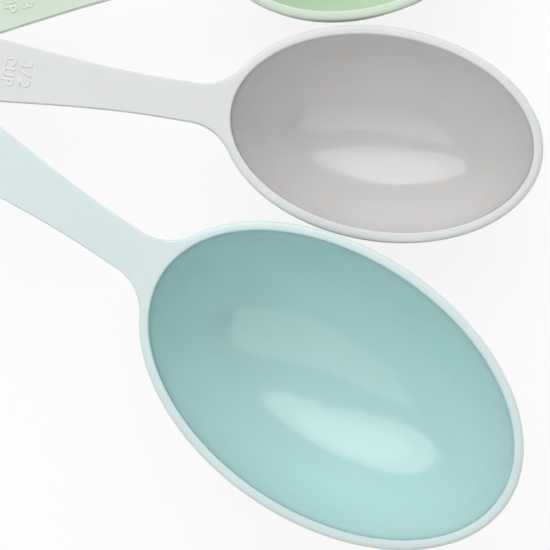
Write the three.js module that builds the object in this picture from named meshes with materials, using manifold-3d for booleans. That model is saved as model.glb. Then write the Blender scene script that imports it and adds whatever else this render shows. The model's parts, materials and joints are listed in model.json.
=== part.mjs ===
// A set of four nesting measuring cups on a hinged plastic ring, in millimetres, +Z up.
//
// Each cup is one moulding: an oval bowl with a thickened rim, and a flat handle that runs out from
// the rim to an eye. The ring's straight run passes through the four eyes, one above the other, and
// the cups stand fanned out around it on their flat feet.

import * as THREE from 'three';
import { mergeVertices } from 'three/addons/utils/BufferGeometryUtils.js';
import Module from 'manifold-3d';

const wasm = await Module();
wasm.setup();

// ---------------------------------------------------------------------------------------------
// Driving dimensions
// ---------------------------------------------------------------------------------------------

const ML = 1000; // cubic millimetres in a millilitre
const CUP_ML = 236.6;

// The four cups: the mark, the share of a cup that each holds, its rim's outer semi-axes, where it
// stands around the ring in degrees, and the half width of its handle's neck.
const CUPS = [
  { name: 'one_cup', mark: '1', share: 1, rimA: 60.0, rimB: 39.2, turn: -33.5, neck: 6.3 },
  { name: 'half_cup', mark: '1/2', share: 1 / 2, rimA: 46.9, rimB: 31.2, turn: -9.2, neck: 5.7 },
  { name: 'third_cup', mark: '1/3', share: 1 / 3, rimA: 40.6, rimB: 26.9, turn: 12.3, neck: 5.4 },
  { name: 'quarter_cup', mark: '1/4', share: 1 / 4, rimA: 37.1, rimB: 24.7, turn: 33.5, neck: 5.2 },
];
const COLOURS = { one_cup: 0xd2e3e0, half_cup: 0xdbdddc, third_cup: 0xd3dfd2, quarter_cup: 0xe0dccd };

// Bowl and rim
const FULLNESS = 2.4; // exponent of the bowl's section: 2 is an ellipse, more is squarer
const FLOOR = 2.1;
const WALL = 1.6;
const RIM_WIDTH = 2.75;
const RIM_DROP = 3.0; // height of the thickened rim
const RIM_SHOULDER = 1.3; // radius of the rim's outer top edge
const RIM_INNER_EDGE = 0.35; // radius of its inner top edge
const FOOT_CUT = 2.6; // how much of the rounded underside is cut flat to stand on
const BOWL_SEGMENTS = 36;
const BOWL_STEPS = 9;

// Handle
const HANDLE_REACH = 120.8; // from the ring to the rim
const HANDLE_THICKNESS = 3.0;
const HANDLE_BEVEL = 0.4;
const STACK_GAP = 0.35; // least space left between handles that lie one above the other
const EYE_EXTRA = 5.8; // how much wider the handle's half width is at the eye than at the neck
const EYE_LENGTH = 16.0; // stretch beside the ring where the handle keeps its full width
const NECK_FROM_RIM = 17.5; // where the handle stops narrowing
const ROOT_FILLET = 15.0;

// Raised marks on the handle
const LETTER_HEIGHT = 2.95;
const LETTER_GAP = 1.3;
const STROKE = 0.55;
const MARK_RISE = 0.4;
const NUMBER_FROM_RIM = 57.6;
const UNIT_FROM_RIM = 62.4;

// Ring
const WIRE = 2.0; // radius of the ring's round section
const EYE_CLEARANCE = 0.7;
const RING_WIDTH = 24.0; // between the centres of its two straight runs
const RING_CAP = 8.0; // height of the rounded top and of the rounded bottom
const RING_MARGIN = 3.0; // straight run left free below and above the handles
const CLEARANCE = 0.35;
const LAP = 4.0;
const KNUCKLE = 2.7;
const TONGUE = 2.0;
const CHEEK = 1.45;
const PIN = 0.8;
const PIN_HEAD = 1.4;
const PIN_HEAD_HEIGHT = 0.5;
const RING_COLOUR = 0xd6dad8;
const PIN_COLOUR = 0xb9bcbf;

// ---------------------------------------------------------------------------------------------
// Solids
// ---------------------------------------------------------------------------------------------

/** A closed geometry as a solid: its vertices merged, its empty triangles dropped. */
function solid(geometry) {
  const bare = geometry.clone();
  bare.deleteAttribute('normal');
  bare.deleteAttribute('uv');
  const merged = mergeVertices(bare, 1e-4);
  const { array } = merged.attributes.position;
  const corners = merged.index.array;
  const triangles = [];
  for (let i = 0; i < corners.length; i += 3) {
    const [a, b, c] = corners.slice(i, i + 3);
    if (a !== b && b !== c && c !== a) triangles.push(a, b, c);
  }
  return new wasm.Manifold(new wasm.Mesh({
    numProp: 3,
    vertProperties: new Float32Array(array),
    triVerts: new Uint32Array(triangles),
  }));
}

/** A solid's surface as a geometry. */
function surface(body) {
  const mesh = body.getMesh();
  const geometry = new THREE.BufferGeometry();
  geometry.setAttribute('position', new THREE.BufferAttribute(mesh.vertProperties, 3));
  geometry.setIndex(new THREE.BufferAttribute(mesh.triVerts, 1));
  geometry.computeVertexNormals();
  return geometry;
}

function joined(solids) {
  return solids.reduce((sum, next) => sum.add(next));
}

function box(width, depth, height, x, y, z) {
  return solid(new THREE.BoxGeometry(width, depth, height).translate(x, y, z));
}

/** A cylinder lying along Y. */
function crossPin(radius, length, x, y, z) {
  return solid(new THREE.CylinderGeometry(radius, radius, length, 20).translate(x, y, z));
}

// ---------------------------------------------------------------------------------------------
// Bowl
// ---------------------------------------------------------------------------------------------

/** Share of the bounding cylinder that a bowl of this section fills. */
function bowlFill(fullness) {
  const slices = 2000;
  let sum = 0;
  for (let i = 0; i < slices; i += 1) {
    const depth = (i + 0.5) / slices;
    sum += (1 - depth ** fullness) ** (2 / fullness);
  }
  return sum / slices;
}

/** The sizes that follow from a cup's capacity and rim. */
function cupSizes({ share, rimA, rimB }) {
  const innerA = rimA - RIM_WIDTH;
  const innerB = rimB - RIM_WIDTH;
  const depth = (CUP_ML * ML * share) / (Math.PI * innerA * innerB * bowlFill(FULLNESS));
  return { innerA, innerB, depth, height: depth + FLOOR };
}

/** Points down a bowl's section, as shares of its half width and of its depth. */
function section(angle) {
  const width = Math.max(Math.cos(angle), 0) ** (2 / FULLNESS);
  const depth = Math.sin(angle) ** (2 / FULLNESS);
  return { width, depth };
}

/** The bowl's profile: the two semi-axes and the height of each ring, from foot to inner floor. */
function bowlStations(cup) {
  const { innerA, innerB, depth, height } = cupSizes(cup);
  const outside = (across, z) => ({ a: innerA + across, b: innerB + across, z });
  const stations = [{ a: 0, b: 0, z: 0 }];

  const fullDepth = height + FOOT_CUT;
  const lipAngle = Math.asin((RIM_DROP / fullDepth) ** (FULLNESS / 2));
  const footAngle = Math.asin((height / fullDepth) ** (FULLNESS / 2));
  for (let i = 0; i <= BOWL_STEPS; i += 1) {
    const angle = footAngle + ((lipAngle - footAngle) * i) / BOWL_STEPS;
    const at = section(angle);
    stations.push({
      a: (innerA + WALL) * at.width,
      b: (innerB + WALL) * at.width,
      z: height - fullDepth * at.depth,
    });
  }
  stations.push(outside(RIM_WIDTH, height - RIM_DROP));
  for (const turn of [0, 30, 60, 90]) {
    const angle = THREE.MathUtils.degToRad(turn);
    const across = RIM_WIDTH - RIM_SHOULDER * (1 - Math.cos(angle));
    stations.push(outside(across, height - RIM_SHOULDER * (1 - Math.sin(angle))));
  }
  for (const turn of [90, 45, 0]) {
    const angle = THREE.MathUtils.degToRad(turn);
    const across = RIM_INNER_EDGE * (1 - Math.cos(angle));
    stations.push(outside(across, height - RIM_INNER_EDGE * (1 - Math.sin(angle))));
  }
  for (let i = 1; i <= BOWL_STEPS; i += 1) {
    const at = section((Math.PI / 2) * (i / BOWL_STEPS));
    stations.push({ a: innerA * at.width, b: innerB * at.width, z: height - depth * at.depth });
  }
  stations[stations.length - 1] = { a: 0, b: 0, z: FLOOR };
  return stations;
}

/** A lathe turned into an oval: each ring of the profile gets two semi-axes of its own. */
function ovalLathe(stations, centre) {
  const profile = stations.map(({ a, z }) => new THREE.Vector2(a, z));
  const geometry = new THREE.LatheGeometry(profile, BOWL_SEGMENTS);
  const { position } = geometry.attributes;
  for (let i = 0; i <= BOWL_SEGMENTS; i += 1) {
    const angle = (2 * Math.PI * (i % BOWL_SEGMENTS)) / BOWL_SEGMENTS;
    stations.forEach(({ a, b, z }, j) => {
      const x = centre + a * Math.cos(angle);
      position.setXYZ(i * stations.length + j, x, b * Math.sin(angle), z);
    });
  }
  return geometry;
}

// ---------------------------------------------------------------------------------------------
// Handle
// ---------------------------------------------------------------------------------------------

/** Half the handle's width at a distance from the ring. */
function handleHalfWidth(cup, along) {
  const taper = THREE.MathUtils.smoothstep(along, EYE_LENGTH, HANDLE_REACH - NECK_FROM_RIM);
  return cup.neck + EYE_EXTRA * (1 - taper);
}

/** Where the fillet between neck and rim touches the rim, and the fillet's centre. */
function rootFillet({ rimA, rimB, neck }) {
  const centre = HANDLE_REACH + rimA;
  const touch = (angle) => {
    const normal = new THREE.Vector2(rimB * Math.cos(angle), rimA * Math.sin(angle)).normalize();
    const point = new THREE.Vector2(centre + rimA * Math.cos(angle), rimB * Math.sin(angle));
    return { angle, point, middle: point.clone().addScaledVector(normal, ROOT_FILLET) };
  };
  let low = Math.PI / 2;
  let high = Math.PI;
  for (let i = 0; i < 50; i += 1) {
    const half = (low + high) / 2;
    if (touch(half).middle.y > neck + ROOT_FILLET) low = half;
    else high = half;
  }
  return touch((low + high) / 2);
}

/** The handle seen from above: round eye, taper, fillets, and an inner edge hidden in the rim. */
function handleOutline(cup) {
  const { rimA, rimB } = cup;
  const { angle, point, middle } = rootFillet(cup);
  const eye = handleHalfWidth(cup, 0);
  const outline = new THREE.Shape();
  outline.absarc(0, 0, eye, Math.PI / 2, (3 * Math.PI) / 2, false);
  const taperSteps = 8;
  const neckEnd = HANDLE_REACH - NECK_FROM_RIM;
  const edge = [];
  for (let i = 0; i <= taperSteps; i += 1) {
    const along = EYE_LENGTH + ((neckEnd - EYE_LENGTH) * i) / taperSteps;
    edge.push([along, handleHalfWidth(cup, along)]);
  }
  edge.forEach(([x, y]) => outline.lineTo(x, -y));
  const turn = Math.atan2(point.y - middle.y, point.x - middle.x);
  outline.absarc(middle.x, -middle.y, ROOT_FILLET, Math.PI / 2, -turn, true);
  const hidden = RIM_WIDTH - RIM_INNER_EDGE - 0.3;
  outline.absellipse(
    HANDLE_REACH + rimA, 0, rimA - hidden, rimB - hidden, -angle, angle - 2 * Math.PI, true, 0,
  );
  outline.absarc(middle.x, middle.y, ROOT_FILLET, turn, -Math.PI / 2, true);
  edge.reverse().forEach(([x, y]) => outline.lineTo(x, y));
  outline.closePath();
  return outline;
}

/** The handle's plate, with its top level with the rim and a hole for the ring. */
function handlePlate(cup, top, thickness) {
  const outline = handleOutline(cup);
  const hole = new THREE.Path();
  hole.absarc(0, 0, WIRE + EYE_CLEARANCE, 0, 2 * Math.PI, true);
  outline.holes.push(hole);
  const plate = new THREE.ExtrudeGeometry(outline, {
    depth: thickness - 2 * HANDLE_BEVEL,
    bevelThickness: HANDLE_BEVEL,
    bevelSize: HANDLE_BEVEL,
    bevelOffset: -HANDLE_BEVEL,
    bevelSegments: 1,
    curveSegments: 12,
  });
  return solid(plate.translate(0, 0, top - thickness + HANDLE_BEVEL));
}

// ---------------------------------------------------------------------------------------------
// Raised marks
// ---------------------------------------------------------------------------------------------

/** Points along an arc, in letter heights. */
function arc(x, y, rx, ry, from, to, steps = 6) {
  return Array.from({ length: steps + 1 }, (_, i) => {
    const angle = THREE.MathUtils.degToRad(from + ((to - from) * i) / steps);
    return [x + rx * Math.cos(angle), y + ry * Math.sin(angle)];
  });
}

// Each character's width and its pen strokes, in letter heights.
const GLYPHS = {
  1: { width: 0.44, strokes: [[[0, 0.87], [0.38, 1], [0.38, 0], [0.04, 0]]] },
  2: { width: 0.58, strokes: [[...arc(0.29, 0.71, 0.28, 0.29, 165, -40), [0, 0], [0.58, 0]]] },
  3: {
    width: 0.56,
    strokes: [arc(0.28, 0.76, 0.24, 0.24, 150, -90), arc(0.28, 0.26, 0.28, 0.26, 90, -150)],
  },
  4: { width: 0.64, strokes: [[[0.47, 0], [0.47, 1], [0, 0.28], [0.64, 0.28]]] },
  '/': { width: 0.48, strokes: [[[0, -0.05], [0.48, 1.05]]] },
  C: { width: 0.62, strokes: [arc(0.38, 0.5, 0.38, 0.5, 50, 310, 9)] },
  U: { width: 0.6, strokes: [[[0, 1], ...arc(0.3, 0.3, 0.3, 0.3, 180, 360), [0.6, 1]]] },
  P: { width: 0.54, strokes: [[[0, 0], [0, 1], ...arc(0.28, 0.73, 0.26, 0.27, 90, -90), [0, 0.46]]] },
};

/** One pen stroke as a raised ridge of even width. */
function ridge(points, bottom, top) {
  const path = points.map(([x, y]) => new THREE.Vector2(x, y));
  const sides = path.map((point, i) => {
    const before = path[Math.max(i - 1, 0)];
    const after = path[Math.min(i + 1, path.length - 1)];
    const into = point.clone().sub(before).normalize();
    const out = after.clone().sub(point).normalize();
    const along = into.clone().add(out).normalize();
    const bend = Math.max(along.dot(i ? into : out), 0.5);
    const across = new THREE.Vector2(-along.y, along.x).multiplyScalar(STROKE / 2 / bend);
    return { left: point.clone().add(across), right: point.clone().sub(across) };
  });
  const outline = [...sides.map(({ left }) => left), ...sides.map(({ right }) => right).reverse()];
  const options = { depth: top - bottom, bevelEnabled: false };
  return solid(new THREE.ExtrudeGeometry(new THREE.Shape(outline), options).translate(0, 0, bottom));
}

/** A line of characters across the handle, with their tops towards the bowl. */
function markLine(text, along, top) {
  const glyphs = [...text].map((character) => GLYPHS[character]);
  const widths = glyphs.map(({ width }) => width * LETTER_HEIGHT);
  const length = widths.reduce((sum, width) => sum + width + LETTER_GAP, -LETTER_GAP);
  const ridges = [];
  let start = length / 2;
  glyphs.forEach(({ strokes }, i) => {
    for (const stroke of strokes) {
      const points = stroke.map(([x, y]) => [
        along + (y - 0.5) * LETTER_HEIGHT,
        start - x * LETTER_HEIGHT,
      ]);
      ridges.push(ridge(points, top - MARK_RISE, top + MARK_RISE));
    }
    start -= widths[i] + LETTER_GAP;
  });
  return ridges;
}

// ---------------------------------------------------------------------------------------------
// Cups
// ---------------------------------------------------------------------------------------------

/** Handles are as thick as they can be without touching the next one in the stack. */
function handleThickness() {
  const heights = CUPS.map((cup) => cupSizes(cup).height);
  const steps = heights.slice(1).map((height, i) => heights[i] - height);
  return Math.min(HANDLE_THICKNESS, Math.min(...steps) - STACK_GAP);
}

function plastic(colour) {
  return new THREE.MeshStandardMaterial({ color: colour, roughness: 0.3, metalness: 0 });
}

/** A whole cup in its own frame: the ring's axis at the origin, the bowl out along +X. */
function cupMesh(cup) {
  const { height } = cupSizes(cup);
  const bowl = solid(ovalLathe(bowlStations(cup), HANDLE_REACH + cup.rimA));
  const plate = handlePlate(cup, height, handleThickness());
  const number = markLine(cup.mark, HANDLE_REACH - NUMBER_FROM_RIM, height);
  const unit = markLine('CUP', HANDLE_REACH - UNIT_FROM_RIM, height);
  const mesh = new THREE.Mesh(surface(joined([bowl, plate, ...number, ...unit])), plastic(COLOURS[cup.name]));
  mesh.name = cup.name;
  mesh.rotation.z = THREE.MathUtils.degToRad(cup.turn);
  return mesh;
}

// ---------------------------------------------------------------------------------------------
// Ring: a fixed part that carries the cups, a gate that closes it, and the gate's hinge pin
// ---------------------------------------------------------------------------------------------

/** The straight run's two ends, set by the stack of handles that it passes through. */
function runEnds() {
  const heights = CUPS.map((cup) => cupSizes(cup).height);
  const bottom = Math.min(...heights) - handleThickness() - RING_MARGIN;
  const top = Math.max(...heights) + RING_MARGIN;
  return { bottom, top };
}

/** Centre line of the ring's fixed part: catch end, rounded top, straight run, rounded bottom. */
class RingPath extends THREE.Curve {
  getPoint(t) {
    const { bottom, top } = runEnds();
    const third = t * 3;
    const half = RING_WIDTH / 2;
    if (third < 1) {
      const angle = Math.PI * (1 - third);
      return new THREE.Vector3(-half + half * Math.cos(angle), 0, top + RING_CAP * Math.sin(angle));
    }
    if (third < 2) return new THREE.Vector3(0, 0, top + (bottom - top) * (third - 1));
    const angle = -Math.PI * (third - 2);
    return new THREE.Vector3(-half + half * Math.cos(angle), 0, bottom + RING_CAP * Math.sin(angle));
  }
}

function wireSection() {
  return new THREE.Shape().absarc(0, 0, WIRE, 0, 2 * Math.PI, false);
}

/** A straight length of the ring's round section, standing at the gate. */
function gateBar(from, to) {
  const bar = new THREE.CylinderGeometry(WIRE, WIRE, to - from, 16);
  return solid(bar.rotateX(Math.PI / 2).translate(-RING_WIDTH, 0, (from + to) / 2));
}

const { bottom: RUN_BOTTOM, top: RUN_TOP } = runEnds();
const HINGE_Z = RUN_BOTTOM + KNUCKLE;
const FORK_WIDTH = TONGUE + 2 * CLEARANCE + 2 * CHEEK;
const SEAT_Z = HINGE_Z - KNUCKLE - CLEARANCE; // bottom of the slot that the gate's tongue turns in

function ringFrame() {
  const loop = solid(new THREE.ExtrudeGeometry(wireSection(), {
    steps: 24,
    curveSegments: 5,
    extrudePath: new RingPath(),
  }));
  const catchBar = gateBar(RUN_TOP - LAP, RUN_TOP + 0.2);
  const lapCut = box(2 * WIRE, 3 * WIRE, LAP + 1, -RING_WIDTH - WIRE, 0, RUN_TOP - LAP / 2 - 0.5);
  const knuckle = crossPin(KNUCKLE, FORK_WIDTH, -RING_WIDTH, 0, HINGE_Z);
  const rootHeight = HINGE_Z - RUN_BOTTOM + 2 * WIRE;
  const root = box(2 * WIRE, FORK_WIDTH, rootHeight, -RING_WIDTH, 0, HINGE_Z - rootHeight / 2);
  const slotHeight = 2 * KNUCKLE + CLEARANCE + 2;
  const slotWidth = TONGUE + 2 * CLEARANCE;
  const slot = box(4 * KNUCKLE, slotWidth, slotHeight, -RING_WIDTH, 0, SEAT_Z + slotHeight / 2);
  const bore = crossPin(PIN + CLEARANCE, 2 * FORK_WIDTH, -RING_WIDTH, 0, HINGE_Z);
  return joined([loop, catchBar.subtract(lapCut), knuckle, root]).subtract(slot).subtract(bore);
}

function ringGate() {
  const barStart = HINGE_Z + KNUCKLE + CLEARANCE;
  const bar = gateBar(barStart, RUN_TOP - CLEARANCE);
  const lapStart = RUN_TOP - LAP - CLEARANCE;
  const lapX = -RING_WIDTH + WIRE - CLEARANCE;
  const lapCut = box(2 * WIRE, 3 * WIRE, LAP + 1, lapX, 0, lapStart + (LAP + 1) / 2);
  const tongue = crossPin(KNUCKLE, TONGUE, -RING_WIDTH, 0, HINGE_Z);
  const stemHeight = barStart - HINGE_Z + WIRE;
  const stem = box(2 * WIRE - 0.4, TONGUE, stemHeight, -RING_WIDTH, 0, HINGE_Z + stemHeight / 2);
  const bore = crossPin(PIN + CLEARANCE, 2 * TONGUE, -RING_WIDTH, 0, HINGE_Z);
  return joined([bar.subtract(lapCut), tongue, stem]).subtract(bore);
}

function ringPin() {
  const shank = crossPin(PIN, FORK_WIDTH + 2 * CLEARANCE + PIN_HEAD_HEIGHT, -RING_WIDTH, 0, HINGE_Z);
  const headAt = FORK_WIDTH / 2 + CLEARANCE + PIN_HEAD_HEIGHT / 2;
  const heads = [-headAt, headAt].map((y) => crossPin(PIN_HEAD, PIN_HEAD_HEIGHT, -RING_WIDTH, y, HINGE_Z));
  return joined([shank, ...heads]);
}

function ringMesh(name, body, material) {
  const mesh = new THREE.Mesh(surface(body), material);
  mesh.name = name;
  return mesh;
}

// ---------------------------------------------------------------------------------------------
// The set
// ---------------------------------------------------------------------------------------------

const group = new THREE.Group();
group.name = 'measuring_cup_set';
for (const cup of CUPS) group.add(cupMesh(cup));
group.add(ringMesh('ring_frame', ringFrame(), plastic(RING_COLOUR)));
group.add(ringMesh('ring_gate', ringGate(), plastic(RING_COLOUR)));
const steel = new THREE.MeshStandardMaterial({ color: PIN_COLOUR, roughness: 0.3, metalness: 1 });
group.add(ringMesh('ring_pin', ringPin(), steel));

// The origin is under the middle of the whole set, on the surface that it stands on.
const bounds = new THREE.Box3().setFromObject(group, true);
const middle = bounds.getCenter(new THREE.Vector3());
group.position.set(-middle.x, -middle.y, -bounds.min.z);

export default group;
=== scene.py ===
# %% [markdown]
# # A set of measuring cups on a ring
#
# Four oval cups in pale moulded plastic, each one piece with its flat handle, stand fanned out on
# their feet. A small ring with a hinged gate goes through the eyes at the handles' ends.
#
# The cups could be boxes and spheres rounded with modifiers, but a bowl's highlight shows every
# flat spot. So each surface here is worked out as a formula on a fine grid.
#
# ## The frame
#
# The solids, their joints and their sizes come from the frame. The fine surfaces are made around
# them, so nothing has to be fitted afterwards.

# %% Load the frame
import json
import math

import bmesh
import bpy
import numpy as np
from mathutils import Matrix, Vector
from mathutils.geometry import tessellate_polygon


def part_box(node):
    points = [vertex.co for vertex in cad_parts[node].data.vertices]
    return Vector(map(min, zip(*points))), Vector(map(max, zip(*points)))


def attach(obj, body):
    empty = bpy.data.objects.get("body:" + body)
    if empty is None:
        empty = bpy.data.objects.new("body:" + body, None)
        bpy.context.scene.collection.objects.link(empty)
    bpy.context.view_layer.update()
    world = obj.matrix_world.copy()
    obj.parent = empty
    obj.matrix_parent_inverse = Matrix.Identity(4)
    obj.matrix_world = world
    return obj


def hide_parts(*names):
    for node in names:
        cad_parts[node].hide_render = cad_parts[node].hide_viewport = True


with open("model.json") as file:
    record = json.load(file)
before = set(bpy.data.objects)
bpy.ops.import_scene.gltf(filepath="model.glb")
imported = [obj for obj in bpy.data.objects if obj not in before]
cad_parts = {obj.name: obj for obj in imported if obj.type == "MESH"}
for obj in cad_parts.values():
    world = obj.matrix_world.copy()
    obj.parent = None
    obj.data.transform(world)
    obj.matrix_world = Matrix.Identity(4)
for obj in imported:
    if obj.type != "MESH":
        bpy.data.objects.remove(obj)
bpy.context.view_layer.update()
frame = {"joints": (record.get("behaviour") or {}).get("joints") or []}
joints = {joint["name"]: joint for joint in frame["joints"]}

# %% [markdown]
# ## Sizes
#
# All lengths are in metres. The ring's axis, each cup's height and the gate's hinge come from the
# frame, so the fine surfaces land on the solids that they stand for. What a box can't tell, such
# as an oval's two half widths, is written once here.

# %% Sizes of the cups
MM = 0.001
MARK_RISE = 0.4 * MM
CUPS = {
    "one_cup": dict(a=60.0, b=39.2, turn=-33.5, neck=6.3, mark="1"),
    "half_cup": dict(a=46.9, b=31.2, turn=-9.2, neck=5.7, mark="1/2"),
    "third_cup": dict(a=40.6, b=26.9, turn=12.3, neck=5.4, mark="1/3"),
    "quarter_cup": dict(a=37.1, b=24.7, turn=33.5, neck=5.2, mark="1/4"),
}
for name, cup in CUPS.items():
    for key in ("a", "b", "neck"):
        cup[key] *= MM
    cup["turn"] = math.radians(cup["turn"])
    cup["height"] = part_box(name)[1].z - MARK_RISE

REACH = 120.8 * MM
RIM_WIDTH = 2.75 * MM
WALL = 1.6 * MM
FLOOR = 2.1 * MM
THICKNESS = 3.0 * MM
FULLNESS = 2.4
FOOT_CUT = 2.6 * MM
EYE_HOLE = 2.7 * MM
EYE_EXTRA = 5.8 * MM
EYE_LENGTH = 16.0 * MM
NECK_FROM_RIM = 17.5 * MM
ROOT_FILLET = 15.0 * MM
pivot = np.array(joints["half_cup_swing"]["pos_m"][:2])
print("ring axis", pivot.round(4), {name: round(cup["height"], 4) for name, cup in CUPS.items()})

# %% [markdown]
# ## Patches
#
# A cup is one closed skin, but no single formula gives it. It is cut into patches: the rounded
# outer edge, the flat top, the bowl inside, the wall outside. Neighbouring patches share the
# points along their seam, and welding those closes the skin.


# %% Patches that weld into a skin
def sheet_patch(points, inside=0.0, gloss=0.0):
    """A grid of points (rows, columns, 3) whose columns close on themselves, with a quad
    between each pair of rows. inside and gloss are written on its points for the material; each
    is one number, or a grid that fits the rows and columns."""
    rows, columns = points.shape[:2]
    index = np.arange(rows * columns).reshape(rows, columns)
    ahead = np.roll(index, -1, axis=1)
    quads = np.stack([index[:-1], ahead[:-1], ahead[1:], index[1:]], axis=-1).reshape(-1, 4)
    values = [np.broadcast_to(value, (rows, columns)).ravel() for value in (inside, gloss)]
    return points.reshape(-1, 3), quads, np.column_stack(values)


def flat_patch(loops, z):
    """A level face at height z between an outer loop of (x, y) points and the loops inside it."""
    lists = [[(x, y, 0.0) for x, y in loop] for loop in loops]
    faces = np.array(tessellate_polygon(lists))
    flat = np.concatenate(loops)
    points = np.column_stack([flat, np.full(len(flat), z)])
    return points, faces, np.zeros((len(points), 2))


def skin(name, patches, weld=2e-6, crease=40.0):
    """Joins patches into one mesh object, welds their seams and turns every face outwards."""
    work = bmesh.new()
    layers = [work.verts.layers.float.new(key) for key in ("inside", "gloss")]
    for points, faces, values in patches:
        made = [work.verts.new(point) for point in points]
        for vertex, value in zip(made, values):
            vertex[layers[0]], vertex[layers[1]] = value
        for face in faces:
            work.faces.new([made[i] for i in face])
    bmesh.ops.remove_doubles(work, verts=work.verts, dist=weld)
    bmesh.ops.recalc_face_normals(work, faces=work.faces)
    open_edges = sum(len(edge.link_faces) != 2 for edge in work.edges)
    mesh = bpy.data.meshes.new(name)
    work.to_mesh(mesh)
    work.free()
    mesh.polygons.foreach_set("use_smooth", np.ones(len(mesh.polygons), bool))
    mesh.set_sharp_from_angle(angle=math.radians(crease))
    piece = bpy.data.objects.new(name, mesh)
    bpy.context.scene.collection.objects.link(piece)
    print(name, len(mesh.polygons), "faces,", open_edges, "open edges")
    return piece


def ellipse(a, b, centre, count):
    """Points around an oval: (centre + a cos t, b sin t)."""
    t = np.linspace(0, 2 * np.pi, count, endpoint=False)
    return np.column_stack([centre + a * np.cos(t), b * np.sin(t)])


def closed_ends(grid):
    """The grid with a row added at both ends, all of whose points lie at that end's middle."""
    first, last = (np.broadcast_to(grid[i].mean(axis=0), grid[i].shape) for i in (0, -1))
    return np.concatenate([first[None], grid, last[None]])


def stack(loops, heights):
    """Level loops (rows, columns, 2) at their heights, as one grid of points."""
    loops = np.asarray(loops)
    z = np.broadcast_to(np.asarray(heights)[:, None, None], (*loops.shape[:2], 1))
    return np.concatenate([loops, z], axis=-1)


# %% [markdown]
# ## The outline of a cup
#
# Seen from above a cup is an oval with a paddle for a handle. The paddle is widest at the eye,
# narrows to a neck near the rim and flows into it through two round fillets. A fillet circle
# touches both the neck's straight edge and the oval, and that fixes where its centre lies.


# %% Outline of a cup
def smooth(x, low, high):
    """0 below low, 1 above high, and 3u^2 - 2u^3 between them."""
    u = np.clip((x - low) / (high - low), 0, 1)
    return u * u * (3 - 2 * u)


def handle_half_width(cup, along):
    """Neck width plus what the eye adds, which fades out towards the neck."""
    return cup["neck"] + EYE_EXTRA * (1 - smooth(along, EYE_LENGTH, REACH - NECK_FROM_RIM))


def root_fillet(cup):
    """The oval's angle where the fillet touches it, and the fillet's centre: a point on the oval
    plus its unit normal times the radius, taken where that lands a radius above the neck."""
    angle = np.linspace(np.pi / 2, np.pi, 4001)
    normal = np.column_stack([cup["b"] * np.cos(angle), cup["a"] * np.sin(angle)])
    normal /= np.linalg.norm(normal, axis=1, keepdims=True)
    point = np.column_stack(
        [REACH + cup["a"] + cup["a"] * np.cos(angle), cup["b"] * np.sin(angle)]
    )
    centre = point + ROOT_FILLET * normal
    touch = np.interp(-(cup["neck"] + ROOT_FILLET), -centre[:, 1], angle)
    return touch, np.array([np.interp(touch, angle, centre[:, 0]), cup["neck"] + ROOT_FILLET])


def cup_outline(cup, count=520):
    """The outline, counter-clockwise from the rim's lower fillet, resampled to even steps, with
    its outward normal at each point."""
    touch, (mx, my) = root_fillet(cup)
    t = np.linspace(-touch, touch, 700)
    centre = REACH + cup["a"]
    rim = np.column_stack([centre + cup["a"] * np.cos(t), cup["b"] * np.sin(t)])
    start = math.atan2(rim[-1, 1] - my, rim[-1, 0] - mx)
    turn = np.linspace(start, -np.pi / 2, 90)
    fillet = np.column_stack([mx + ROOT_FILLET * np.cos(turn), my + ROOT_FILLET * np.sin(turn)])
    x = np.linspace(mx, 0, 400)
    edge = np.column_stack([x, handle_half_width(cup, x)])
    turn = np.linspace(np.pi / 2, np.pi, 120)
    eye = handle_half_width(cup, 0) * np.column_stack([np.cos(turn), np.sin(turn)])
    upper = np.concatenate([fillet[1:], edge[1:], eye[1:]])
    lower = upper[::-1][1:] * (1, -1)
    path = np.concatenate([rim, upper, lower])
    length = np.r_[0, np.cumsum(np.linalg.norm(np.diff(path, axis=0), axis=1))]
    even = np.linspace(0, length[-1], count, endpoint=False)
    points = np.column_stack([np.interp(even, length, path[:, i]) for i in (0, 1)])
    tangent = np.roll(points, -1, axis=0) - np.roll(points, 1, axis=0)
    tangent /= np.linalg.norm(tangent, axis=1, keepdims=True)
    return points, np.column_stack([tangent[:, 1], -tangent[:, 0]])


# %% [markdown]
# ## The skin of a cup
#
# The outline is carried down round the outer edge: in from the flat top, over a rounded shoulder,
# down the side and under. The shoulder is wide on the rim, where a real cup's lip is rolled for
# scraping level, and small on the handle. The bowl's section is a little squarer than an
# ellipse, and its outside is the same curve one wall further out, with a flat foot.
#
# Next to each round edge a narrow strip of the flat face is held flat. Without it the round
# edge's smooth shading would spread over the whole face.

# %% Skin of a cup
RIM_SHOULDER = 1.3 * MM
SHOULDER_DROP = 0.75 * MM
SHOULDER_BLEND = 8.0 * MM
HANDLE_EDGE = 0.32 * MM
UNDER_EDGE = 0.45 * MM
INNER_EDGE = 0.35 * MM
HOLE_EDGE = 0.35 * MM
HELD_FLAT = 0.12 * MM
FOOT_ROUND = 0.5 * MM
FOOT_LIFT = 0.012 * MM
AROUND = 240
SHOULDER_GLOSS = 0.15
OUTSIDE_GLOSS = 0.7
print("rim", RIM_WIDTH / MM, "mm wide, wall", WALL / MM, "mm,", AROUND, "points around a bowl")


def quarter_turn(steps):
    """Sine and cosine from 0 to 90 degrees."""
    angle = np.linspace(0, np.pi / 2, steps)
    return np.sin(angle), np.cos(angle)


def bowl_section(angle):
    """Half width and depth, both 0 to 1, down a bowl: width^n + depth^n = 1."""
    width = np.clip(np.cos(angle), 0, 1) ** (2 / FULLNESS)
    return width, np.sin(angle) ** (2 / FULLNESS)


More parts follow.
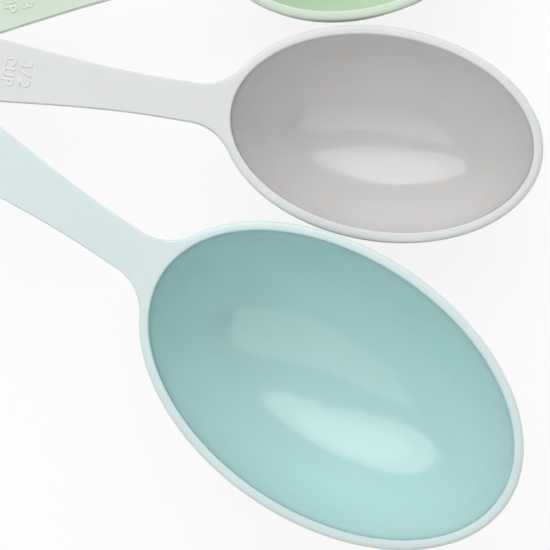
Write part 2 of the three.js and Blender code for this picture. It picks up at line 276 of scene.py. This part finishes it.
def outer_edge(cup):
    """The outline moved inwards and down through the shoulder, the side and the under edge, with
    its gloss. A row's points are outline - inset * normal, and a quarter turn gives its inset
    and its drop. The rim's shoulder is slightly polished, the handle's is not."""
    points, normal = cup_outline(cup)
    on_rim = smooth(points[:, 0], REACH - SHOULDER_BLEND, REACH + SHOULDER_BLEND)
    shoulder = (HANDLE_EDGE + (RIM_SHOULDER - HANDLE_EDGE) * on_rim)[:, None]
    sine, cosine = quarter_turn(9)
    drop = np.minimum(shoulder, SHOULDER_DROP)
    rows = [(shoulder + HELD_FLAT, 0 * shoulder)]
    rows += [(shoulder * (1 - s), drop * (1 - c)) for s, c in zip(sine, cosine)]
    low = THICKNESS - UNDER_EDGE
    rows += [(UNDER_EDGE * (1 - c), low + UNDER_EDGE * s) for s, c in zip(sine, cosine)]
    rows += [(UNDER_EDGE + HELD_FLAT, THICKNESS)]
    loops = [points - inset * normal for inset, _ in rows]
    heights = [cup["height"] - np.broadcast_to(down, (len(points), 1)) for _, down in rows]
    grid = np.stack([np.column_stack(row) for row in zip(loops, heights)])
    below_top = np.clip(np.arange(len(rows)) - 1, 0, 1)[:, None]
    return grid, below_top * on_rim * SHOULDER_GLOSS


# %% [markdown]
# The eye at the handle's end and the bowl are holes in the flat top. Each starts with a small
# round edge, because a moulded edge is never sharp and the light catches it.


# %% Eye and bowl
def eye_hole(cup):
    """The hole's round edge, its wall and its round lower edge, as circles around the ring."""
    sine, cosine = quarter_turn(6)
    top = cup["height"]
    radius = np.r_[EYE_HOLE + HOLE_EDGE + HELD_FLAT, EYE_HOLE + HOLE_EDGE * (1 - sine)]
    drop = np.r_[0, HOLE_EDGE * (1 - cosine)]
    radius = np.r_[radius, radius[::-1]]
    drop = np.r_[drop, THICKNESS - drop[::-1]]
    return stack([ellipse(r, r, 0, 48) for r in radius], top - drop)


def bowl_inside(cup):
    """The small inner edge of the rim, then the bowl down to the middle of its floor."""
    a, b = cup["a"] - RIM_WIDTH, cup["b"] - RIM_WIDTH
    sine, cosine = quarter_turn(6)
    centre = REACH + cup["a"]
    depth = cup["height"] - FLOOR
    out = np.r_[INNER_EDGE + HELD_FLAT, INNER_EDGE * (1 - sine)]
    drop = np.r_[0, INNER_EDGE * (1 - cosine)]
    loops = [ellipse(a + o, b + o, centre, AROUND) for o in out]
    width, down = bowl_section(np.linspace(0, np.pi / 2, 84)[1:])
    keep = down * depth > INNER_EDGE * 1.2
    loops += [ellipse(a * w, b * w, centre, AROUND) for w in width[keep]]
    return stack(loops, cup["height"] - np.r_[drop, down[keep] * depth])


def bowl_outside(cup):
    """The wall from under the rim to the foot. The section would end below the table, and
    (z + sqrt(z^2 + r^2)) / 2, a rounded max(z, 0), cuts it flat there."""
    a, b = (cup[key] - RIM_WIDTH + WALL for key in ("a", "b"))
    depth = cup["height"] + FOOT_CUT
    start = math.asin((THICKNESS / depth) ** (FULLNESS / 2))
    width, down = bowl_section(np.linspace(start, np.pi / 2, 60))
    z = cup["height"] - depth * down
    z = (z + np.sqrt(z * z + FOOT_ROUND**2)) / 2
    z -= z[-1] - FOOT_LIFT
    z[0] = cup["height"] - THICKNESS
    centre = REACH + cup["a"]
    return stack([ellipse(a * w, b * w, centre, AROUND) for w in width], z)


# %% [markdown]
# Now the patches are joined. A cup is made with its handle along X and is then turned to its
# place, point by point, so that the object itself stays at the origin.


# %% The four cups
def placed(points, cup):
    """Points of a cup in its own frame, turned to its place around the ring."""
    c, s = math.cos(cup["turn"]), math.sin(cup["turn"])
    turned = points.copy()
    turned[..., 0] = pivot[0] + c * points[..., 0] - s * points[..., 1]
    turned[..., 1] = pivot[1] + s * points[..., 0] + c * points[..., 1]
    return turned


def make_cup(name, cup):
    """One whole cup, closed above and below by level faces between the patches. The bowl's
    surface, from the rim's inner edge on, carries inside = 1 for the material."""
    (edge, gloss), hole = outer_edge(cup), eye_hole(cup)
    inside, outside = bowl_inside(cup), bowl_outside(cup)
    # inside = 1 gives the bowl its painted shade colour, gloss = 1 gives it its polish.
    polished = np.minimum(np.arange(len(inside)), 1)[:, None]
    parts = [sheet_patch(edge, 0.0, gloss), sheet_patch(hole)]
    parts += [sheet_patch(inside, polished, polished), sheet_patch(outside, 0.0, OUTSIDE_GLOSS)]
    for row, bowl in ((0, inside[0]), (-1, outside[0])):
        loops = [edge[row, :, :2], bowl[:, :2], hole[row, :, :2]]
        parts.append(flat_patch(loops, bowl[0, 2]))
    parts = [(placed(points, cup), faces, values) for points, faces, values in parts]
    piece = skin(name + "_moulding", parts)
    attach(piece, name)
    return piece


mouldings = {name: make_cup(name, cup) for name, cup in CUPS.items()}

# %% [markdown]
# ## Raised measures
#
# The measure stands up from the handle in thin strokes. A text object could give it, but its
# letters are flat-topped blocks. Here a pen follows each stroke, and its section is a low round
# ridge that runs out to nothing at both ends.

# %% Letters as pen strokes
LETTER = 2.95 * MM
LETTER_GAP = 1.3 * MM
STROKE = 0.55 * MM
STROKE_STEP = 0.25 * MM
TANGENT_STEP = 0.02 * MM
NUMBER_FROM_RIM = 57.6 * MM
UNIT_FROM_RIM = 62.4 * MM


def arc(x, y, rx, ry, first, last, steps=28):
    """Points (x + rx cos t, y + ry sin t) from one angle to another, in letter heights."""
    t = np.radians(np.linspace(first, last, steps))
    return np.column_stack([x + rx * np.cos(t), y + ry * np.sin(t)])


# Each character has its width and its strokes, all in letter heights.
GLYPHS = {
    "1": (0.44, [[[0, 0.87], [0.38, 1]], [[0.38, 1], [0.38, 0]], [[0.38, 0], [0.04, 0]]]),
    "2": (0.58, [np.r_[arc(0.29, 0.71, 0.28, 0.29, 165, -40), [[0, 0]]], [[0, 0], [0.58, 0]]]),
    "3": (0.56, [arc(0.28, 0.76, 0.24, 0.24, 150, -90), arc(0.28, 0.26, 0.28, 0.26, 90, -150)]),
    "4": (0.64, [[[0.47, 0], [0.47, 1]], [[0.47, 1], [0, 0.28]], [[0, 0.28], [0.64, 0.28]]]),
    "/": (0.48, [[[0, -0.05], [0.48, 1.05]]]),
    "C": (0.62, [arc(0.38, 0.5, 0.38, 0.5, 50, 310, 40)]),
    "U": (0.6, [np.r_[[[0, 1]], arc(0.3, 0.3, 0.3, 0.3, 180, 360), [[0.6, 1]]]]),
    "P": (
        0.54,
        [[[0, 0], [0, 1]], np.r_[[[0, 1]], arc(0.28, 0.73, 0.26, 0.27, 90, -90), [[0, 0.46]]]],
    ),
}
print(len(GLYPHS), "characters,", LETTER / MM, "mm high")


# %% [markdown]
# A ridge is a grid too: its rows step along the stroke and its columns go across it. A row near
# an end is as narrow as the pen's round tip is there.


# %% Ridge along a stroke
def ridge(path, top):
    """A closed low ridge along a path. Across it the height falls off as 1 - v^4, its half width
    is that of a pen with a round tip, and a flat base lies just under the handle's face."""
    path = np.asarray(path, float)
    length = np.r_[0, np.cumsum(np.linalg.norm(np.diff(path, axis=0), axis=1))]
    tip = STROKE / 2
    turn = np.linspace(0.05, np.pi / 2, 5)
    steps = max(3, int(length[-1] / STROKE_STEP))
    s = np.r_[
        -tip * np.cos(turn),
        np.linspace(0, length[-1], steps)[1:-1],
        length[-1] + tip * np.cos(turn[::-1]),
    ]
    on = np.clip(s, 0, length[-1])
    points = np.column_stack([np.interp(on, length, path[:, i]) for i in (0, 1)])
    ends = [np.clip(on + step, 0, length[-1]) for step in (-TANGENT_STEP, TANGENT_STEP)]
    behind, ahead = (
        np.column_stack([np.interp(end, length, path[:, i]) for i in (0, 1)]) for end in ends
    )
    along = ahead - behind
    along /= np.linalg.norm(along, axis=1, keepdims=True)
    points = points + along * (s - on)[:, None]
    across = np.column_stack([-along[:, 1], along[:, 0]])
    half = np.sqrt(np.clip(tip**2 - (s - on) ** 2, 0, None))
    v = np.linspace(-1, 1, 9)
    section = np.r_[v, 1.0, -1.0]
    rise = np.r_[MARK_RISE * (1 - v**4), -MARK_RISE / 2, -MARK_RISE / 2]
    flat = points[:, None, :] + across[:, None, :] * (half[:, None] * section)[..., None]
    lift = np.where(rise > 0, rise * (half[:, None] / tip) ** 0.5, rise)
    body = np.concatenate([flat, (top + lift)[..., None]], axis=-1)
    return closed_ends(body)


# %% [markdown]
# The strokes are set out as letters are: from the middle of the line, each as wide as its
# character, with the same gap between them.


# %% Number and unit on each handle
def mark_strokes(text, along, top):
    """The ridges of one line, which reads across the handle with its tops towards the bowl."""
    glyphs = [GLYPHS[character] for character in text]
    length = sum(width * LETTER + LETTER_GAP for width, _ in glyphs) - LETTER_GAP
    start = length / 2
    for width, strokes in glyphs:
        for stroke in strokes:
            x, y = np.asarray(stroke, float).T
            yield ridge(np.column_stack([along + (y - 0.5) * LETTER, start - x * LETTER]), top)
        start -= width * LETTER + LETTER_GAP


def make_marks(name, cup):
    """The number and the unit on one handle."""
    top = cup["height"]
    ridges = [
        *mark_strokes(cup["mark"], REACH - NUMBER_FROM_RIM, top),
        *mark_strokes("CUP", REACH - UNIT_FROM_RIM, top),
    ]
    piece = skin(name + "_marks", [sheet_patch(placed(r, cup)) for r in ridges], weld=1e-7)
    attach(piece, name)
    return piece


marks = {name: make_marks(name, cup) for name, cup in CUPS.items()}

# %% [markdown]
# ## The ring
#
# The ring is a round wire of plastic bent to a long loop. Most of it is the fixed part; the gate
# closes the far side and turns on a pin at its foot, in a fork. A tube carried along the loop
# gives both, and where the two ends overlap each keeps half of its thickness. The fork's cheeks
# and the gate's tongue are plates: an outline carried across, with small rounded edges.

# %% Sizes of the ring
WIRE = 2.0 * MM
RING_WIDTH = 24.0 * MM
RING_CAP = 8.0 * MM
CLEARANCE = 0.35 * MM
LAP = 4.0 * MM
KNUCKLE = 2.7 * MM
TONGUE = 2.0 * MM
TONGUE_STEM = 1.7 * MM
TONGUE_REACH = 4.5 * MM
CHEEK = 1.45 * MM
CHEEK_REACH = 5.6 * MM
PLATE_EDGE = 0.2 * MM
PIN = 0.8 * MM
PIN_HEAD = 1.4 * MM
PIN_DOME = 0.5 * MM
PIN_UNDERCUT = 0.1 * MM
hinge = np.array(joints["ring_gate_hinge"]["pos_m"])
run_bottom = hinge[2] - KNUCKLE
run_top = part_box("ring_frame")[1].z - WIRE - RING_CAP
print("straight run", round(run_bottom, 4), "to", round(run_top, 4))


# %% Tube along a path in the ring's plane
def tube(path, keep=None, sides=28):
    """A round wire along points (x, z) in the ring's plane, with closed ends. keep cuts the
    section flat: it gives, for each point, the lowest and highest x that the wire may reach."""
    path = np.asarray(path, float)
    tangent = np.gradient(path, axis=0)
    tangent /= np.linalg.norm(tangent, axis=1, keepdims=True)
    across = np.column_stack([tangent[:, 1], -tangent[:, 0]])
    angle = np.linspace(0, 2 * np.pi, sides, endpoint=False)
    plane = path[:, None, :] + WIRE * np.cos(angle)[None, :, None] * across[:, None, :]
    if keep is not None:
        plane[..., 0] = np.clip(plane[..., 0], keep[:, :1], keep[:, 1:])
    y = np.broadcast_to(pivot[1] + WIRE * np.sin(angle), plane.shape[:2])
    return closed_ends(np.stack([plane[..., 0], y, plane[..., 1]], axis=-1))


def cap(top, sign):
    """The half oval that joins the two straight runs, from the gate's side to the cups' side."""
    angle = np.linspace(np.pi, 0, 40)
    half = RING_WIDTH / 2
    x = pivot[0] - half + half * np.cos(angle)
    return np.column_stack([x, top + sign * RING_CAP * np.sin(angle)])


def plate(radius, stem, reach, y, width, upwards):
    """A plate in the ring's plane: a disc around the pin, with a narrower stem that reaches up or
    down from it to a round end. The outline (r cos t, r sin t) is followed from where the disc
    meets the stem, then the end's half disc, and is carried across with small rounded edges."""
    meet = math.acos(stem / radius)
    over = np.linspace(-meet, np.pi + meet, 40)
    under = np.linspace(np.pi, 2 * np.pi, 17)
    x = np.r_[radius * np.cos(over), stem * np.cos(under)]
    z = np.r_[radius * np.sin(over), stem * np.sin(under) - (reach - stem)]
    middle = (radius - reach) / 2
    sine, cosine = quarter_turn(5)
    inwards, aside = PLATE_EDGE * (1 - sine), PLATE_EDGE * (1 - cosine)
    inset = np.r_[radius, inwards, inwards[::-1], radius]
    side = np.r_[0, aside, width - aside[::-1], width] - width / 2
    scale = (1 - inset / radius)[:, None]
    z = (middle + (z - middle) * scale) * (-1 if upwards else 1)
    across = np.broadcast_to(y + side[:, None], z.shape)
    return np.stack([hinge[0] + x * scale, across, hinge[2] + z], axis=-1)


# %% [markdown]
# Now the three pieces. The fixed part and the gate each are several closed skins that meet: the
# wire and its plates.

# %% Fixed part, gate and pin
gate_x = hinge[0]
UNCUT = (-1.0, 1.0)


def lap_limits(z, low, high):
    """Limits for a wire that keeps x between low and high where z is within the lap, and limits
    too wide to cut anything elsewhere."""
    lapped = (z < run_top + 1e-9) & (z > run_top - LAP - CLEARANCE - 1e-9)
    return np.where(lapped[:, None], [low, high], UNCUT)


def make_ring():
    """The fixed loop from the catch, over the top, down the cups' side and round to the fork,
    where the wire stops just short of the gate's tongue."""
    catch = np.column_stack([np.full(6, gate_x), np.linspace(run_top - LAP, run_top - 1e-5, 6)])
    run = np.column_stack([np.full(20, pivot[0]), np.linspace(run_top, run_bottom, 22)[1:-1]])
    loop = np.concatenate([catch, cap(run_top, 1), run, cap(run_bottom, -1)[:0:-1]])
    keep = lap_limits(loop[:, 1], gate_x, gate_x + WIRE)
    keep[len(catch):] = UNCUT
    pieces = [sheet_patch(tube(loop, keep))]
    fork = TONGUE / 2 + CLEARANCE + CHEEK / 2
    for side in (-fork, fork):
        cheek = plate(KNUCKLE, WIRE, CHEEK_REACH, pivot[1] + side, CHEEK, upwards=False)
        pieces.append(sheet_patch(cheek))
    return skin("ring_loop", pieces, weld=1e-8)


def make_gate():
    """The gate: a straight length of the same wire over the tongue that turns on the pin."""
    low, high = hinge[2] + KNUCKLE + CLEARANCE, run_top - CLEARANCE
    shoulder = run_top - LAP - CLEARANCE
    z = np.r_[np.linspace(low, shoulder - 1e-5, 12), np.linspace(shoulder, high, 8)]
    keep = lap_limits(z, gate_x - WIRE, gate_x - CLEARANCE)
    bar = tube(np.column_stack([np.full(len(z), gate_x), z]), keep)
    tongue = plate(KNUCKLE, TONGUE_STEM, TONGUE_REACH, pivot[1], TONGUE, upwards=True)
    return skin("ring_gate_bar", [sheet_patch(bar), sheet_patch(tongue)], weld=1e-8)


def make_pin():
    """A steel pin with two low domed heads, turned about its own axis across the fork."""
    fork = TONGUE / 2 + CLEARANCE + CHEEK
    dome = np.linspace(0, np.pi / 2, 8)
    head = np.column_stack([PIN_HEAD * np.cos(dome), fork + CLEARANCE + PIN_DOME * np.sin(dome)])
    shank = [[PIN, 0], [PIN, fork], [PIN_HEAD, fork + PIN_UNDERCUT]]
    profile = np.concatenate([shank, head])
    profile = np.concatenate([profile[::-1] * (1, -1), profile[1:]])
    angle = np.linspace(0, 2 * np.pi, 32, endpoint=False)
    radius, y = profile[:, :1], profile[:, 1:]
    x = hinge[0] + radius * np.cos(angle)
    z = hinge[2] + radius * np.sin(angle)
    grid = np.stack([x, np.broadcast_to(pivot[1] + y, x.shape), z], axis=-1)
    return skin("ring_pin_turned", [sheet_patch(grid)], weld=1e-8)


ring_loop, ring_gate, ring_pin = make_ring(), make_gate(), make_pin()
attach(ring_loop, "ring")
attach(ring_gate, "gate")
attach(ring_pin, "ring")

# %% [markdown]
# ## What stands for what
#
# Each fine piece takes the place of its solid, which is hidden; each cup's slot in the record
# is listed beside it. The marks ride with their cup.

# %% Replace the solids
SLOTS = {
    "one_cup": "teal_plastic",
    "half_cup": "grey_plastic",
    "third_cup": "green_plastic",
    "quarter_cup": "cream_plastic",
}
for name, slot in SLOTS.items():
    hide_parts(name)
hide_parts("ring_frame")
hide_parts("ring_gate")
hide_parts("ring_pin")

# %% [markdown]
# ## Materials
#
# A material is a network of nodes. To write one as arithmetic, a small class wraps a socket, so
# that `1 - mask` or `grain * 0.2` adds the Math node that does it.


# %% Sockets as numbers
class Signal:
    """One number that varies over a surface: a socket, with arithmetic that adds Math nodes."""

    def __init__(self, paint, socket):
        self.paint = paint
        self.socket = socket

    def _with(self, operation, first, second):
        return self.paint.node("ShaderNodeMath", {"operation": operation}, {0: first, 1: second})

    def __add__(self, other):
        return self._with("ADD", self, other)

    def __sub__(self, other):
        return self._with("SUBTRACT", self, other)

    def __rsub__(self, other):
        return self._with("SUBTRACT", other, self)

    def __mul__(self, other):
        return self._with("MULTIPLY", self, other)

    def __pow__(self, other):
        return self._with("POWER", self, other)

    def __abs__(self):
        return self._with("ABSOLUTE", self, 0.0)

    __radd__ = __add__
    __rmul__ = __mul__


class Paint:
    """The node tree of a material or a world, with one method that adds any node."""

    def __init__(self, owner):
        owner.use_nodes = True
        self.owner = owner
        self.tree = owner.node_tree
        self.tree.nodes.clear()

    def node(self, kind, settings=None, inputs=None, output=0):
        """Adds a node, sets its settings, then its inputs by value or link."""
        made = self.tree.nodes.new(kind)
        for key, value in (settings or {}).items():
            setattr(made, key, value)
        for key, value in (inputs or {}).items():
            if isinstance(value, Signal):
                self.tree.links.new(value.socket, made.inputs[key])
            else:
                made.inputs[key].default_value = value
        return Signal(self, made.outputs[output]) if made.outputs else None

    def noise(self, place, scale, detail):
        """Smooth noise between 0 and 1."""
        inputs = {"Vector": place, "Scale": scale, "Detail": detail}
        return self.node("ShaderNodeTexNoise", None, inputs, "Fac")

    def blend(self, factor, first, second):
        """A colour from first to second as factor goes from 0 to 1. A Mix node's colour sockets
        are its inputs 6 and 7 and its output 2."""
        inputs = {"Factor": factor, 6: first, 7: second}
        return self.node("ShaderNodeMix", {"data_type": "RGBA"}, inputs, 2)

    def finish(self, shader, output="ShaderNodeOutputMaterial"):
        """Sends a shader to the output and gives back the material or world."""
        self.node(output, None, {"Surface": shader})
        return self.owner


# %% [markdown]
# ## Moulded plastic
#
# The cups are pale polypropylene with a little colour in it. Light goes a millimetre or so into
# it, which softens the shade in the bowl. The bowl's inside is polished in the mould and the
# handle has a satin skin, so a clear coat and the roughness follow the gloss that the surface
# carries. The inside also gets a deeper colour than the handle, which is painted shade for the
# hollow bowl. Nothing moulded is quite even: the colour drifts slightly over a hand's width, and
# the skin has a faint orange peel that only the highlights show.


# %% Moulded plastic
TRANSLUCENCY = 0.6
SCATTER = (0.7, 1.0, 1.0)
SCATTER_SCALE = 1.5 * MM
COAT = 0.85
COAT_ROUGHNESS = 0.07
DARKER, LIGHTER = 0.985, 1.01
DRIFT_PER_METRE, PEEL_PER_METRE, GRAIN_PER_METRE = 22.0, 900.0, 4200.0
PEEL_HEIGHT = 0.003 * MM
GRAIN_HEIGHT = 0.008 * MM


def linear(*srgb):
    """A colour written as on a screen, 0 to 255, as the linear values that nodes use."""
    c = np.array(srgb) / 255
    return (*np.where(c <= 0.04045, c / 12.92, ((c + 0.055) / 1.055) ** 2.4), 1.0)


def shade(colour, factor):
    """A screen colour made slightly lighter or darker."""
    return linear(*[min(255, c * factor) for c in colour])


def moulded_plastic(name, outside, inside, translucency, satin=0.36, polish=0.16):
    """Slightly translucent plastic. Where the surface carries inside = 1 it has the deeper inside
    colour, painted shade for the hollow bowl, elsewhere the outside colour. Where it carries
    gloss = 1 it is polished, elsewhere satin. Its colour drifts between a darker and a lighter
    shade."""
    paint = Paint(bpy.data.materials.new(name))
    place = paint.node("ShaderNodeTexCoord", output="Object")
    bowl_shade_mask = paint.node("ShaderNodeAttribute", {"attribute_name": "inside"}, output="Fac")
    gloss = paint.node("ShaderNodeAttribute", {"attribute_name": "gloss"}, output="Fac")
    drift = paint.noise(place, DRIFT_PER_METRE, 2.0)
    peel = paint.noise(place, PEEL_PER_METRE, 2.0)
    grain = paint.noise(place, GRAIN_PER_METRE, 1.0)
    # The inside colour is painted shade: a deeper copy of the plastic's colour for the hollow bowl.
    darker = paint.blend(bowl_shade_mask, shade(outside, DARKER), shade(inside, DARKER))
    lighter = paint.blend(bowl_shade_mask, shade(outside, LIGHTER), shade(inside, LIGHTER))
    colour = paint.blend(drift, darker, lighter)
    roughness = satin + gloss * (polish - satin) + (drift - 0.5) * 0.05 + (grain - 0.5) * 0.04
    height = peel * PEEL_HEIGHT + grain * (1 - gloss) * GRAIN_HEIGHT
    bump = paint.node("ShaderNodeBump", None, {"Height": height, "Distance": 1.0, "Strength": 0.35})
    shader = paint.node(
        "ShaderNodeBsdfPrincipled",
        None,
        {
            "Base Color": colour,
            "Roughness": roughness,
            "Normal": bump,
            "IOR": 1.49,
            "Coat Weight": gloss * COAT,
            "Coat Roughness": COAT_ROUGHNESS,
            "Subsurface Weight": translucency,
            "Subsurface Radius": SCATTER,
            "Subsurface Scale": SCATTER_SCALE,
        },
    )
    return paint.finish(shader)


# %% [markdown]
# The pin is turned steel with a fine uneven sheen. The marks are the cup's own plastic, but they
# have an opaque material of their own, whose slightly brighter colour is a painted highlight for
# the light that makes so thin a ridge look paler than the face around it. Each cup's first colour
# is its outside's, the second the bowl's inside, which is deeper as painted shade for the hollow.


# %% Steel, and a material for each piece
# The marks' colour is made brighter than their cup's as a painted highlight, capped below white.
MARK_PAINTED_HIGHLIGHT = 1.09
MARK_HIGHLIGHT_LIMIT = 250
SHEEN_PER_METRE = 1800.0


def turned_steel(name):
    """Bright steel whose tone and roughness vary finely."""
    paint = Paint(bpy.data.materials.new(name))
    place = paint.node("ShaderNodeTexCoord", output="Object")
    sheen = paint.noise(place, SHEEN_PER_METRE, 3.0)
    colour = paint.blend(sheen, linear(180, 183, 186), linear(212, 214, 216))
    shader = paint.node(
        "ShaderNodeBsdfPrincipled",
        None,
        {"Base Color": colour, "Metallic": 1.0, "Roughness": sheen * 0.2 + 0.22},
    )
    return paint.finish(shader)


def wear(piece, material):
    """Gives a piece its one material."""
    piece.data.materials.clear()
    piece.data.materials.append(material)


# Each cup's second colour, for the bowl's inside, is painted shade, deeper than its outside colour.
COLOURS_AND_PAINTED_SHADE = {
    "one_cup": ((216, 229, 229), (196, 228, 227)),
    "half_cup": ((220, 222, 222), (219, 218, 217)),
    "third_cup": ((208, 222, 206), (204, 226, 200)),
    "quarter_cup": ((228, 223, 208), (226, 216, 194)),
}
RING_COLOUR = (216, 220, 218)
for name, colours in COLOURS_AND_PAINTED_SHADE.items():
    wear(mouldings[name], moulded_plastic(name + "_plastic", *colours, TRANSLUCENCY))
    # Painted highlight: the marks get their cup's outside colour made brighter.
    highlight_colour = [min(MARK_HIGHLIGHT_LIMIT, c * MARK_PAINTED_HIGHLIGHT) for c in colours[0]]
    wear(marks[name], moulded_plastic(name + "_mark_plastic", highlight_colour, highlight_colour, 0.0))
ring_plastic = moulded_plastic("ring_plastic", RING_COLOUR, RING_COLOUR, 0.0)
wear(ring_loop, ring_plastic)
wear(ring_gate, ring_plastic)
wear(ring_pin, turned_steel("pin_steel"))
print(len(bpy.data.materials), "materials")

# %% [markdown]
# ## Floor, light and camera
#
# The set stands on a seamless white table. A wide soft lamp hangs above and behind it, with a
# smaller one just under it that makes the highlight brighter, and a third hangs in front. So
# each polished bowl shows two patches of light, one above the other. The room fills the rest and
# is brighter towards the window's side. A camera sees the table and the room as white, and the
# table keeps the cups' soft shadow.


# %% White table and room
ROOM_FILL = 0.38
ROOM_SLOPE = 0.38
ROOM_LOW = 0.15
OVERHEAD_POWER = 12.6
CORE_POWER = 1.4
FRONT_POWER = 6.4
TABLE_HALF = 3.0
TABLE_WHITE = (0.93, 0.93, 0.93, 1)
TABLE_GLOW = 0.86
WINDOW_SIDE = Vector((-0.45, 0.88, 0.1)).normalized()


def white_table():
    """A level sheet, matt for every ray but the camera's, which see mostly a plain glow."""
    mesh = bpy.data.meshes.new("table")
    corners = [(x * TABLE_HALF, y * TABLE_HALF, 0) for x, y in ((-1, -1), (1, -1), (1, 1), (-1, 1))]
    mesh.from_pydata(corners, [], [(0, 1, 2, 3)])
    table = bpy.data.objects.new("table", mesh)
    bpy.context.scene.collection.objects.link(table)
    paint = Paint(bpy.data.materials.new("table_white"))
    matt = paint.node("ShaderNodeBsdfDiffuse", None, {"Color": TABLE_WHITE})
    glow = paint.node("ShaderNodeEmission", None, {"Color": (1, 1, 1, 1), "Strength": 1.0})
    seen = paint.node("ShaderNodeLightPath", output="Is Camera Ray")
    mixed = paint.node("ShaderNodeMixShader", None, {0: seen * TABLE_GLOW, 1: matt, 2: glow})
    wear(table, paint.finish(mixed))


def white_room(fill, slope, low):
    """A world that a camera sees as white. It lights the scene with the given fill, plus slope
    times the cosine of the angle to the window's side, plus low near the horizon."""
    world = bpy.data.worlds.new("room")
    bpy.context.scene.world = world
    paint = Paint(world)
    direction = paint.node("ShaderNodeTexCoord", output="Generated")
    cosine = paint.node(
        "ShaderNodeVectorMath",
        {"operation": "DOT_PRODUCT"},
        {0: direction, 1: WINDOW_SIDE},
        "Value",
    )
    height = paint.node("ShaderNodeSeparateXYZ", None, {"Vector": direction}, "Z")
    light = fill + cosine * slope + (1 - abs(height)) ** 4 * low
    direct = paint.node("ShaderNodeLightPath", output="Is Camera Ray")
    through = paint.node("ShaderNodeLightPath", output="Is Transmission Ray")
    strength = (direct + through) + light * (1 - direct - through)
    shader = paint.node("ShaderNodeBackground", None, {"Strength": strength})
    paint.finish(shader, "ShaderNodeOutputWorld")


def soft_light(name, centre, size, power, shape="ELLIPSE"):
    """A level soft light that shines straight down from its centre."""
    lamp = bpy.data.lights.new(name, "AREA")
    lamp.shape = shape
    lamp.size, lamp.size_y = size
    lamp.energy = power
    holder = bpy.data.objects.new(name, lamp)
    holder.location = centre
    bpy.context.scene.collection.objects.link(holder)


white_table()
white_room(ROOM_FILL, ROOM_SLOPE, ROOM_LOW)
soft_light("overhead", (-0.22, 0.78, 1.0), (2.4, 1.5), OVERHEAD_POWER)
soft_light("overhead_core", (-0.05, 0.5, 0.99), (1.05, 0.72), CORE_POWER)
soft_light("front", (0.1, -0.82, 1.0), (2.1, 1.24), FRONT_POWER, "RECTANGLE")

# %% [markdown]
# The camera looks down almost upright, with a long lens, at the two largest cups. Its place is
# given from the ring's axis.

# %% Camera
LENS = 170.18
SENSOR = 36.0
ELEVATION = 85.0
ROLL = 0.23
CAMERA_FROM_RING = (0.1348, -0.1331)
CAMERA_HEIGHT = 0.7863
camera = bpy.data.cameras.new("camera")
camera.sensor_width = SENSOR
camera.lens = LENS
eye_point = bpy.data.objects.new("camera", camera)
eye_point.location = (*(pivot + CAMERA_FROM_RING), CAMERA_HEIGHT)
lean = Matrix.Rotation(math.radians(90 - ELEVATION), 3, "X")
roll = Matrix.Rotation(math.radians(ROLL), 3, "Z")
eye_point.rotation_euler = (lean @ roll).to_euler()
bpy.context.scene.collection.objects.link(eye_point)
bpy.context.scene.camera = eye_point
bpy.context.scene.view_settings.view_transform = "Standard"
print("camera at", [round(x, 4) for x in eye_point.location])
